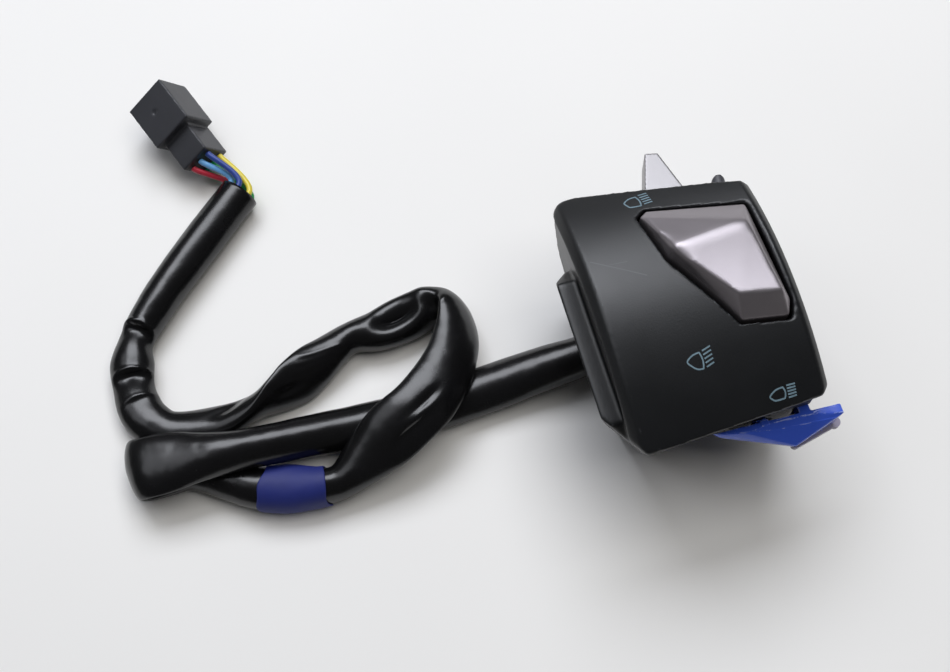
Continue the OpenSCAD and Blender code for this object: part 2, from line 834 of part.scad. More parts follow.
module beam_wiper() {
    color("#b98b4a")
        for (x = [hub_x[0], hub_x[1] - 1.5])
            translate([x, pivot_y - 1.2, finger_z - beam_wiper_t])
                cube([1.5, 2.4, beam_wiper_t]);
}

module beam_contacts() {
    color("#c49a52")
        for (x = [hub_x[0] + 0.75, hub_x[1] - 0.75])
            for (y = [-1, 1])
                translate([x, pivot_y + 1.6 * y, base_z1])
                    cylinder(r = 1, h = beam_contact_t);
}

module turn_lever() {
    slab = 0.4;
    color("#9c979a")
        on_high_wall()
            translate([turn_u, 0, turn_v]) {
                translate([-fin_base / 2, -wall - slide_gap, -fin_h / 2])
                    cube([fin_base, wall + slide_gap + slab, fin_h]);
                hull() {
                    translate([-fin_base / 2, 0, -fin_h / 2]) cube([fin_base, slab, fin_h]);
                    translate([tip_shift - fin_tip / 2, fin_reach - slab, -tip_low])
                        cube([fin_tip, slab, tip_low + tip_high]);
                }
            }
}

module turn_slider() {
    color("#3a3c40")
        on_high_wall()
            difference() {
                union() {
                    translate([turn_u - slider_left, -slider_back, turn_v - fin_h / 2 - slider_lap])
                        cube([slider_left + slider_right, slider_t, fin_h + 2 * slider_lap]);
                    translate([turn_ball_u, slider_t / 2 - slider_back - bridge_t, contact_v])
                        along_y(boss_r, bridge_t);
                }
                translate([turn_ball_u, -up_depth, contact_v])
                    along_y(ball_bore, up_depth - wall - slide_gap - 0.3);
            }
}

module turn_detent_ball() {
    color("#c6c9cc")
        on_high_wall()
            translate([turn_ball_u, ball_r + ball_clear - up_depth, contact_v])
                sphere(r = ball_r);
}

module turn_detent_spring() {
    foot = 2 * ball_r + ball_clear + spring_gap - up_depth;
    color("#9da1a6")
        on_high_wall()
            translate([turn_ball_u, foot, contact_v])
                rotate([-90, 0, 0])
                    spring_tube(spring_r, -wall - slide_gap - 0.3 - spring_gap - foot);
}

module turn_bridge() {
    leaf_t = 0.7;
    color("#b98b4a")
        on_high_wall()
            translate([contact_u, -slider_back, contact_v]) {
                translate([-0.9 - contact_pitch / 2, -leaf_t, -1.6])
                    cube([contact_pitch + 1.8, leaf_t, 3.2]);
                for (s = [-1, 1])
                    translate([s * contact_pitch / 2, -bridge_t, 0]) along_y(0.8, bridge_t);
            }
}

module turn_contacts() {
    color("#c49a52")
        on_high_wall()
            for (k = [-1, 0, 1])
                translate([contact_u + contact_pitch * k, -up_depth, contact_v])
                    along_y(1.2, turn_contact_t);
}

module horn_body() {
    nose = horn_w / 2;
    translate([horn_u, 0, horn_v]) {
        intersection() {
            translate([0, -horn_back, 0]) horn_pill(0, horn_back + horn_reach);
            union() {
                translate([-nose, -horn_back, -horn_h])
                    cube([horn_w, horn_back + horn_reach - nose, 2 * horn_h]);
                translate([0, horn_reach - nose, -horn_h]) cylinder(r = nose, h = 2 * horn_h);
            }
        }
        translate([-nose, -horn_back, -horn_h / 2 - horn_lip])
            cube([horn_w, horn_back - wall - slide_gap, horn_h + 2 * horn_lip]);
    }
}

// The button slides over its spring, which is drawn at its pressed length
module horn_button() {
    color("#4a4b4f")
        on_high_wall()
            difference() {
                horn_body();
                translate([horn_u, -horn_back - 1, press_v])
                    along_y(press_bore, horn_back + 1 - horn_spring_end + horn_travel + 0.2);
            }
}

module horn_bridge() {
    color("#b98b4a")
        on_high_wall()
            translate([horn_u, -horn_back - horn_rivet, horn_v - 1.4])
                along_y(1, horn_rivet);
}

module horn_contact() {
    color("#c49a52")
        on_high_wall()
            translate([horn_u - 1.5, -up_depth, up_v0 + 0.4])
                cube([3, horn_strip_t, up_v1 - up_v0 - 0.8]);
}

module horn_spring() {
    color("#9da1a6")
        on_high_wall()
            translate([horn_u, horn_strip_t + spring_gap - up_depth, press_v])
                rotate([-90, 0, 0])
                    spring_tube(press_spring_r, up_depth - horn_strip_t - spring_gap - horn_spring_end);
}

// Corners of the blue lever: a narrow flat top, a finger pad that leans out, and a base
function flash_corners() =
    [for (c = flash_form) [flash_end - c.x * flash_len, -c.y * flash_reach, flash_top - c.z * flash_h]];

module flash_lever() {
    speck = 0.2;
    tab = [2, 0.9, 1.6];
    color("#2a40b4") {
        difference() {
            union() {
                hull()
                    for (p = flash_corners())
                        translate([p.x, p.y + flash_back, p.z])
                            translate([0, -speck, p.z > flash_z0 ? -speck : 0]) cube(speck);
                translate([flash_pivot.x, flash_pivot.y, arm_top - arm_h])
                    cylinder(r = flash_pin_r + 1.1, h = arm_h);
                translate([flash_pivot.x - arm_w / 2, flash_back - 0.6, arm_top - arm_h])
                    cube([arm_w, flash_pivot.y - flash_back + 0.6, arm_h]);
                translate([flash_stem_x - stem_w / 2, flash_back - 0.6, flash_top - stem_h])
                    cube([stem_w, stem_end - flash_back + 0.6, stem_h]);
                translate([flash_pivot.x - tab.x / 2, flash_back - 0.6, flash_top - tab.z])
                    cube([tab.x, tab.y + 0.6, tab.z + 0.4]);
            }
            translate([flash_pivot.x, flash_pivot.y, arm_top - arm_h - 1])
                cylinder(r = flash_pin_r + run_gap, h = arm_h + 2);
        }
    }
}

// Grey stiffening bar under the lever's outer edge
module flash_arm() {
    bar_h = 1.6;
    a = [flash_end - 0.35 * flash_len, flash_back - flash_reach + 1];
    b = [flash_end + 0.1, flash_back - 0.373 * flash_reach];
    run = b - a;
    color("#6d6f76")
        translate([a.x, a.y, flash_z0 - bar_h])
            rotate([0, 0, atan2(run.y, run.x)])
                union() {
                    translate([0, -1, 0]) cube([norm(run), 2, bar_h]);
                    cylinder(r = 1, h = bar_h);
                    translate([norm(run), 0, 0]) cylinder(r = 1.4, h = bar_h);
                }
}

module flash_pin() {
    head_t = 1;
    color("#b9bcc0")
        translate([flash_pivot.x, flash_pivot.y, arm_top - arm_h - 0.15]) {
            cylinder(r = flash_pin_r, h = arm_h + 0.35 + base_t - 0.1);
            translate([0, 0, -head_t]) cylinder(r = flash_pin_r + 0.7, h = head_t);
        }
}

module flash_tip() {
    color("#b98b4a")
        translate([flash_stem_x, stem_end, flash_top - 0.9])
            along_y(0.7, base_low - flash_strip_t - contact_gap - flash_swing - stem_end);
}

module flash_contact() {
    color("#c49a52")
        translate([flash_stem_x - 1.3, base_low - flash_strip_t, flash_top - stem_h])
            cube([2, flash_strip_t, stem_h + 0.2]);
}

module flash_spring() {
    seat = base_low - flash_strip_t;
    color("#9da1a6")
        translate([flash_stem_x, seat - spring_gap, flash_top - stem_h + spring_r])
            rotate([90, 0, 0])
                spring_tube(press_spring_r, seat - stem_end - spring_gap - flash_swing);
}

module cable_grommet() {
    neck = grommet_hole - 0.05;
    color("#1b1c1e")
        on_cable_hole()
            difference() {
                union() {
                    along_x(neck, wall);
                    translate([-grommet_flange_t, 0, 0]) along_x(grommet_flange, grommet_flange_t);
                    translate([wall, 0, 0]) along_x(grommet_flange, grommet_flange_t);
                }
                translate([-wall, 0, 0]) along_x(sleeve_r - 0.6, 3 * wall);
            }
}

// Saddle clip that holds the wires down inside the rear half
module cable_clip() {
    hold = tail_r + clip_gap;
    foot_z = cable_z - 1;
    saddle = [11.8, tail_low];
    color("#8d9094")
        translate([clip_x - clip_w / 2, 0, 0])
            difference() {
                union() {
                    translate([0, saddle.x, saddle.y]) along_x(hold + clip_t, clip_w);
                    translate([0, saddle.x, foot_z]) cube([clip_w, clip_foot_y + 2.4 - saddle.x, clip_t]);
                }
                translate([-1, saddle.x, saddle.y]) along_x(hold, clip_w + 2);
                translate([-1, -reach, foot_z - 2 * reach]) cube([clip_w + 2, 2 * reach, 2 * reach]);
                translate([clip_w / 2, clip_foot_y, foot_z - 1])
                    cylinder(r = small_r + 0.15, h = clip_t + 2);
            }
}

module clip_screw() {
    color("#8d9094")
        translate([clip_x, clip_foot_y, cable_z - 1 + clip_t])
            mirror([0, 0, 1])
                pan_screw(small_r, base_head_r, base_head_t, clip_t + back_depth + cable_z - wall - 2);
}

module harness_tail() {
    color("#1b1c1e")
        tube(spline(tail_points, 3), tail_r, wire_sides);
}

module cable_sleeve() {
    color("#17181a")
        tube(sleeve_curve, sleeve_r, sleeve_sides);
}

module sleeve_tape() {
    color("#2b3a93")
        tube(spline(tape_points, 3), sleeve_r + tape_t, sleeve_sides);
}

// Wire k leaves the sleeve's end in a ring of six and enters the connector in two rows of three
function wire_points(k) =
    let (last = len(sleeve_curve) - 1,
        out = heading(sleeve_curve, last),
        side = square_to([0, 0, 1], out),
        spoke = side * cos(60 * k) + cross(out, side) * sin(60 * k),
        start = sleeve_curve[last] + out * wire_end_gap + wire_ring * spoke,
        col = wire_seats[k] % 3 - 1,
        row = floor(wire_seats[k] / 3) - 0.5,
        seat = [plug_len / 2 + tail_len + wire_end_gap, tail_shift[0] + col * wire_pitch.x,
            tail_shift[1] + row * wire_pitch.y],
        end = on_plug(seat),
        near_end = on_plug(seat + [wire_enter, 0, 0]))
    [for (t = [0:0.125:1]) pow(1 - t, 3) * start + 3 * pow(1 - t, 2) * t * (start + wire_leave * out)
        + 3 * (1 - t) * t * t * near_end + pow(t, 3) * end];

module wire(k, paint) {
    color(paint)
        tube(wire_points(k), wire_d / 2, wire_sides);
}

module wire_red() { wire(4, "#b5283a"); }
module wire_sky_blue() { wire(5, "#6aa5d8"); }
module wire_navy() { wire(0, "#27408c"); }
module wire_green() { wire(2, "#1f9a4a"); }
module wire_yellow() { wire(1, "#d9c437"); }
module wire_teal() { wire(3, "#17806e"); }

module on_plug_place() {
    translate(plug_place)
        rotate(plug_turn)
            children();
}

module plug_slots(grow, x0, len) {
    for (i = [-1, 0, 1])
        for (j = [-1, 1])
            translate([x0, i * slot_pitch.x, j * slot_pitch.y / 2])
                translate([0, -slot_w / 2 - grow, -slot_t / 2 - grow])
                    cube([len, slot_w + 2 * grow, slot_t + 2 * grow]);
}

module connector_housing() {
    color("#2a2b2e")
        on_plug_place()
            difference() {
                union() {
                    translate([-plug_len / 2, -plug_w / 2, -plug_t / 2]) cube([plug_len, plug_w, plug_t]);
                    translate([plug_len / 2 - 1, tail_shift[0] - tail_w / 2, tail_shift[1] - tail_t / 2])
                        cube([tail_len + 1, tail_w, tail_t]);
                }
                plug_slots(0, -plug_len / 2 - 1, slot_depth + 1);
                translate([-1, -0.5, plug_t / 2 - 0.3]) cylinder(r = dimple_r, h = 1);
            }
}

module connector_terminals() {
    color("#c9b37a")
        on_plug_place()
            plug_slots(-terminal_gap, slot_depth - plug_len / 2 - terminal_len, terminal_len);
}

front_shell();
rear_shell();
clamp_screws();
switch_base();
base_screws();
beam_rocker();
rocker_pin();
rocker_detent_spring();
rocker_detent_ball();
beam_wiper();
beam_contacts();
turn_lever();
turn_slider();
turn_detent_spring();
turn_detent_ball();
turn_bridge();
turn_contacts();
horn_button();
horn_bridge();
horn_spring();
horn_contact();
flash_lever();
flash_arm();
flash_pin();
flash_tip();
flash_spring();
flash_contact();
cable_grommet();
cable_clip();
clip_screw();
harness_tail();
cable_sleeve();
sleeve_tape();
wire_red();
wire_sky_blue();
wire_navy();
wire_green();
wire_yellow();
wire_teal();
connector_housing();
connector_terminals();
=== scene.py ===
import json
import math

import bmesh
import bpy
import numpy as np
from mathutils import Matrix, Vector, noise


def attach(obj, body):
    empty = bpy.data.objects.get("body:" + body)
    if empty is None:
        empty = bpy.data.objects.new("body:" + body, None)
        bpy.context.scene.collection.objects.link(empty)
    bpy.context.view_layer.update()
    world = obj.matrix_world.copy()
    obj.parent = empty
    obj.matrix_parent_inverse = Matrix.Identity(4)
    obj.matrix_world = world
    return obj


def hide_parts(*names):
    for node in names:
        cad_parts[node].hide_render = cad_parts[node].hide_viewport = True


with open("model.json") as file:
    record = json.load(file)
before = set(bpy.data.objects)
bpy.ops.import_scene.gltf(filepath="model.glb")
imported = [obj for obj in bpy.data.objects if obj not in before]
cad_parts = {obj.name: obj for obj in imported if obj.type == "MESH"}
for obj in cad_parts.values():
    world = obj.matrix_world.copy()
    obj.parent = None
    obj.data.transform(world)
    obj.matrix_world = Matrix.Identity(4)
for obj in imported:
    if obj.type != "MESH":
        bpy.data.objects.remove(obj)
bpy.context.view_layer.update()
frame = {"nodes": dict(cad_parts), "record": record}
nodes = frame["nodes"]
mm = 0.001
print("frame loaded:", len(nodes), "nodes")


def toLinear(hexColour):
    parts = [int(hexColour[i:i + 2], 16) / 255 for i in (1, 3, 5)]
    return tuple(c / 12.92 if c <= 0.04045 else ((c + 0.055) / 1.055) ** 2.4 for c in parts) + (1,)


def addNode(tree, kind, sockets=None, **settings):
    node = tree.nodes.new(kind)
    for name, value in settings.items():
        setattr(node, name, value)
    for name, value in (sockets or {}).items():
        if isinstance(value, bpy.types.NodeSocket):
            tree.links.new(value, node.inputs[name])
        else:
            node.inputs[name].default_value = value
    return node


def perMetre(sizeMm):
    return 1 / (sizeMm * mm)  # texture scale for a pattern whose repeat is this many millimetres


# Camera, fitted to the photograph's frame of 950 by 672
cameraFit = {
    "lens": 47.37,
    "sensor": 36,
    "place": (-0.0815, -0.0973, 0.2965),
    "right": (0.9628, -0.2701, 0),
    "up": (0.2504, 0.8927, 0.3746),
    "back": (-0.1012, -0.3607, 0.9272),
}
lensData = bpy.data.cameras.new("benchCamera")
lensData.lens = cameraFit["lens"]
lensData.sensor_width = cameraFit["sensor"]
lensData.clip_start = 0.01
cameraObject = bpy.data.objects.new("benchCamera", lensData)
bpy.context.scene.collection.objects.link(cameraObject)
axes = Matrix([cameraFit["right"], cameraFit["up"], cameraFit["back"]]).transposed()
cameraObject.matrix_world = Matrix.Translation(cameraFit["place"]) @ axes.to_4x4()
bpy.context.scene.camera = cameraObject
bpy.context.scene.view_settings.view_transform = "Standard"
print("camera set")


def newPiece(name, bm, body, material, smooth=True):
    mesh = bpy.data.meshes.new(name)
    bmesh.ops.recalc_face_normals(bm, faces=bm.faces)
    bm.to_mesh(mesh)
    bm.free()
    for face in mesh.polygons:
        face.use_smooth = smooth
    mesh.materials.append(material)
    piece = bpy.data.objects.new(name, mesh)
    bpy.context.scene.collection.objects.link(piece)
    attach(piece, body)
    return piece


# Materials: each starts from the real one and how its surface was made

def startMaterial(name):
    material = bpy.data.materials.new(name)
    material.use_nodes = True
    tree = material.node_tree
    tree.nodes.clear()
    shader = addNode(tree, "ShaderNodeBsdfPrincipled")
    addNode(tree, "ShaderNodeOutputMaterial", {"Surface": shader.outputs[0]})
    place = addNode(tree, "ShaderNodeTexCoord").outputs["Object"]
    return material, tree, shader, place


def mouldedPlastic(name, look):
    # spark-eroded mould: a fine even grain that spreads the highlight, with faint cloudy handling marks
    material, tree, shader, place = startMaterial(name)
    cloud = addNode(tree, "ShaderNodeTexNoise",
                    {"Vector": place, "Scale": perMetre(look["cloudMm"]), "Detail": 4.0, "Roughness": 0.6})
    tone = addNode(tree, "ShaderNodeMix",
                   {"Factor": cloud.outputs["Fac"], "A": toLinear(look["dark"]), "B": toLinear(look["light"])},
                   data_type="RGBA")
    colour = tone.outputs["Result"]
    if "wearAndSheenLevel" in look:
        # corners rubbed pale in broken dashes, where the mesh's edge layer says an edge is; on the blue lever these
        # pale dashes are also a painted highlight along its top strip
        edge = addNode(tree, "ShaderNodeAttribute", attribute_name="edgeWearAndSheen")
        dashes = addNode(tree, "ShaderNodeTexNoise",
                        {"Vector": place, "Scale": perMetre(look["dashMm"]), "Detail": 6.0, "Roughness": 0.7})
        keep = addNode(tree, "ShaderNodeMapRange",
                       {"Value": dashes.outputs["Fac"], "From Min": look["wearAndSheenLevel"], "From Max": look["wearAndSheenLevel"] + 0.1})
        where = addNode(tree, "ShaderNodeMath", {0: edge.outputs["Fac"], 1: keep.outputs["Result"]},
                        operation="MULTIPLY")
        wornAndSheen = addNode(tree, "ShaderNodeMix",
                       {"Factor": where.outputs[0], "A": colour, "B": toLinear(look["rubbedAndSheenTone"])}, data_type="RGBA")
        colour = wornAndSheen.outputs["Result"]
    for a, b, width in look.get("scratches", ()):
        # a long pale handling scratch, a thin line between two points of the face
        first, second = Vector(a) * mm, Vector(b) * mm
        along = (second - first).normalized()
        offset = addNode(tree, "ShaderNodeVectorMath", {0: place, 1: first}, operation="SUBTRACT")
        run = addNode(tree, "ShaderNodeVectorMath", {0: offset.outputs[0], 1: along}, operation="DOT_PRODUCT")
        foot = addNode(tree, "ShaderNodeVectorMath", {0: along, "Scale": run.outputs["Value"]}, operation="SCALE")
        gap = addNode(tree, "ShaderNodeVectorMath", {0: offset.outputs[0], 1: foot.outputs[0]}, operation="DISTANCE")
        thin = addNode(tree, "ShaderNodeMapRange",
                       {"Value": gap.outputs["Value"], "From Min": width * mm, "From Max": width * mm * 0.4})
        begin = addNode(tree, "ShaderNodeMath", {0: run.outputs["Value"], 1: 0.0}, operation="GREATER_THAN")
        ends = addNode(tree, "ShaderNodeMath",
                       {0: run.outputs["Value"], 1: (second - first).length}, operation="LESS_THAN")
        span = addNode(tree, "ShaderNodeMath", {0: begin.outputs[0], 1: ends.outputs[0]}, operation="MULTIPLY")
        line = addNode(tree, "ShaderNodeMath", {0: span.outputs[0], 1: thin.outputs["Result"]}, operation="MULTIPLY")
        faint = addNode(tree, "ShaderNodeMath", {0: line.outputs[0], 1: look["scratchPale"]}, operation="MULTIPLY")
        over = addNode(tree, "ShaderNodeMix",
                       {"Factor": faint.outputs[0], "A": colour, "B": toLinear(look["rubbedAndSheenTone"])}, data_type="RGBA")
        colour = over.outputs["Result"]
    tree.links.new(colour, shader.inputs["Base Color"])
    polish = addNode(tree, "ShaderNodeMapRange",
                     {"Value": cloud.outputs["Fac"], "To Min": look["rough"][0], "To Max": look["rough"][1]})
    tree.links.new(polish.outputs["Result"], shader.inputs["Roughness"])
    grain = addNode(tree, "ShaderNodeTexNoise",
                    {"Vector": place, "Scale": perMetre(look["grainMm"]), "Detail": 2.0})
    bump = addNode(tree, "ShaderNodeBump",
                   {"Height": grain.outputs["Fac"], "Strength": look["grain"], "Distance": look["grainMm"] * mm * 0.2})
    tree.links.new(bump.outputs["Normal"], shader.inputs["Normal"])
    shader.inputs["IOR"].default_value = look["ior"]
    shader.inputs["Metallic"].default_value = look.get("flake", 0)  # the share of metal flake in a lacquer
    return material


blackAbs = mouldedPlastic("absMouldedSatinBlack", {
    "dark": "#0f1011", "light": "#151618", "rubbedAndSheenTone": "#4a4c50", "rough": (0.34, 0.45), "ior": 1.53,
    "cloudMm": 14, "grainMm": 0.4,  # real grain is near 0.1 mm, drawn coarser so that it shows
    "grain": 0.25, "wearAndSheenLevel": 0.58, "dashMm": 1.6, "scratchPale": 0.35,
    "scratches": [((-21, 17.7, 28.7), (-9.3, 10.4, 29.7), 0.22), ((-17, 15.6, 29.0), (-12.5, 15.3, 29.1), 0.12)],
})
# The rocker and the fin have a lacquer with metal flake: bright towards the window, dark away from it
taupeAbs = mouldedPlastic("absLacqueredSilverTaupe", {
    "dark": "#989296", "light": "#a29ca0", "rough": (0.36, 0.42), "ior": 1.5, "flake": 0.78,
    "cloudMm": 9, "grainMm": 0.35, "grain": 0.12,
})
finAbs = mouldedPlastic("absLacqueredWarmGrey", {
    "dark": "#7b797a", "light": "#888687", "rough": (0.3, 0.38), "ior": 1.5, "flake": 0.85,
    "cloudMm": 7, "grainMm": 0.35, "grain": 0.12,
})
hornAbs = mouldedPlastic("absMouldedDarkGrey", {
    "dark": "#36363b", "light": "#404045", "rough": (0.38, 0.48), "ior": 1.53,
    "cloudMm": 5, "grainMm": 0.35, "grain": 0.12,
})
# the blue lever's pale edge tone is partly rubbing and partly a painted highlight along its top strip
blueAbs = mouldedPlastic("absMouldedGlossBlue", {
    "dark": "#3655c6", "light": "#3f60d2", "rough": (0.1, 0.16), "ior": 1.53,
    "cloudMm": 6, "grainMm": 0.5, "grain": 0.03, "rubbedAndSheenTone": "#a9b8ee", "wearAndSheenLevel": 0.47, "dashMm": 2.4,
})
leverAcetal = mouldedPlastic("acetalMouldedGrey", {
    "dark": "#8d8798", "light": "#9b95a6", "rough": (0.4, 0.5), "ior": 1.48,
    "cloudMm": 5, "grainMm": 0.4, "grain": 0.08,
})
blackNylon = mouldedPlastic("nylonMouldedBlack", {
    "dark": "#17181a", "light": "#1d1e20", "rough": (0.48, 0.6), "ior": 1.53,
    "cloudMm": 8, "grainMm": 0.3, "grain": 0.15,
})
plugNylon = mouldedPlastic("nylonMouldedPlugBlack", {
    "dark": "#2b2c30", "light": "#333439", "rubbedAndSheenTone": "#77797c", "rough": (0.38, 0.5), "ior": 1.53,
    "cloudMm": 7, "grainMm": 0.35, "grain": 0.2, "wearAndSheenLevel": 0.6, "dashMm": 1.2,
})
grommetRubber = mouldedPlastic("nitrileRubberMoulded", {
    "dark": "#111112", "light": "#19191a", "rough": (0.55, 0.7), "ior": 1.5,
    "cloudMm": 5, "grainMm": 0.3, "grain": 0.2,
})


def sheetMetal(name, look):
    # rolled and stamped or plated: a bright metal with fine drawn streaks along one way
    material, tree, shader, place = startMaterial(name)
    stretch = addNode(tree, "ShaderNodeMapping", {"Vector": place, "Scale": (1, 8, 1)})
    streak = addNode(tree, "ShaderNodeTexNoise",
                     {"Vector": stretch.outputs[0], "Scale": perMetre(look["streakMm"]), "Detail": 3.0})
    tone = addNode(tree, "ShaderNodeMix",
                   {"Factor": streak.outputs["Fac"], "A": toLinear(look["dark"]), "B": toLinear(look["light"])},
                   data_type="RGBA")
    tree.links.new(tone.outputs["Result"], shader.inputs["Base Color"])
    polish = addNode(tree, "ShaderNodeMapRange",
                     {"Value": streak.outputs["Fac"], "To Min": look["rough"][0], "To Max": look["rough"][1]})
    tree.links.new(polish.outputs["Result"], shader.inputs["Roughness"])
    shader.inputs["Metallic"].default_value = 1
    return material


zincSteel = sheetMetal("steelZincPlated", {"dark": "#a9adb2", "light": "#c9ccd0", "rough": (0.25, 0.38), "streakMm": 1})
stampedBrass = sheetMetal("brassStamped", {"dark": "#b58d4a", "light": "#d2ab62", "rough": (0.22, 0.35), "streakMm": 1})


def extrudedVinyl(name, look):
    # drawn through a hot die: glossy, with faint lengthwise waves and a film of dust
    material, tree, shader, place = startMaterial(name)
    cloud = addNode(tree, "ShaderNodeTexNoise",
                    {"Vector": place, "Scale": perMetre(look["cloudMm"]), "Detail": 5.0, "Roughness": 0.62})
    tone = addNode(tree, "ShaderNodeMix",
                   {"Factor": cloud.outputs["Fac"], "A": toLinear(look["dark"]), "B": toLinear(look["light"])},
                   data_type="RGBA")
    tree.links.new(tone.outputs["Result"], shader.inputs["Base Color"])
    polish = addNode(tree, "ShaderNodeMapRange",
                     {"Value": cloud.outputs["Fac"], "To Min": look["rough"][0], "To Max": look["rough"][1]})
    tree.links.new(polish.outputs["Result"], shader.inputs["Roughness"])
    ripple = addNode(tree, "ShaderNodeTexNoise",
                     {"Vector": place, "Scale": perMetre(look["rippleMm"]), "Detail": 2.0})
    bump = addNode(tree, "ShaderNodeBump",
                   {"Height": ripple.outputs["Fac"], "Strength": look["ripple"],
                    "Distance": look["rippleMm"] * mm * 0.1})
    tree.links.new(bump.outputs["Normal"], shader.inputs["Normal"])
    shader.inputs["IOR"].default_value = 1.53
    return material


sleeveVinyl = extrudedVinyl("vinylExtrudedGlossBlack", {
    "dark": "#090909", "light": "#0e0e10", "rough": (0.2, 0.31), "cloudMm": 9, "rippleMm": 3, "ripple": 0.12})
tapeVinyl = extrudedVinyl("vinylTapeCalenderedBlue", {
    "dark": "#16205f", "light": "#1c2770", "rough": (0.58, 0.68), "cloudMm": 6, "rippleMm": 2, "ripple": 0.15})
wireColours = {
    "wire_red": ("#b02a3c", "#c2384a"), "wire_sky_blue": ("#5f9ed6", "#76b0e2"),
    "wire_navy": ("#22397f", "#2d4796"), "wire_green": ("#1a8a44", "#27a055"),
    "wire_yellow": ("#c9b832", "#dccb48"), "wire_teal": ("#127360", "#1d8772"),
}
wireVinyls = {name: extrudedVinyl("pvcExtruded_" + name, {
    "dark": pair[0], "light": pair[1], "rough": (0.28, 0.4), "cloudMm": 4, "rippleMm": 2, "ripple": 0.05})
    for name, pair in wireColours.items()}


def printedInk(name, look):
    # pad printed: a flat matt film, thinner in places
    material, tree, shader, place = startMaterial(name)
    cover = addNode(tree, "ShaderNodeTexNoise",
                    {"Vector": place, "Scale": perMetre(look["patchMm"]), "Detail": 4.0})
    tone = addNode(tree, "ShaderNodeMix",
                   {"Factor": cover.outputs["Fac"], "A": toLinear(look["thin"]), "B": toLinear(look["full"])},
                   data_type="RGBA")
    tree.links.new(tone.outputs["Result"], shader.inputs["Base Color"])
    shader.inputs["Roughness"].default_value = 0.6
    return material


markInk = printedInk("inkPadPrintedPaleBlue", {"thin": "#50656f", "full": "#778e9a", "patchMm": 1.2})
print("materials made")


# The cord: the sleeve lies along the source's route, in millimetres
benchHeight = -23

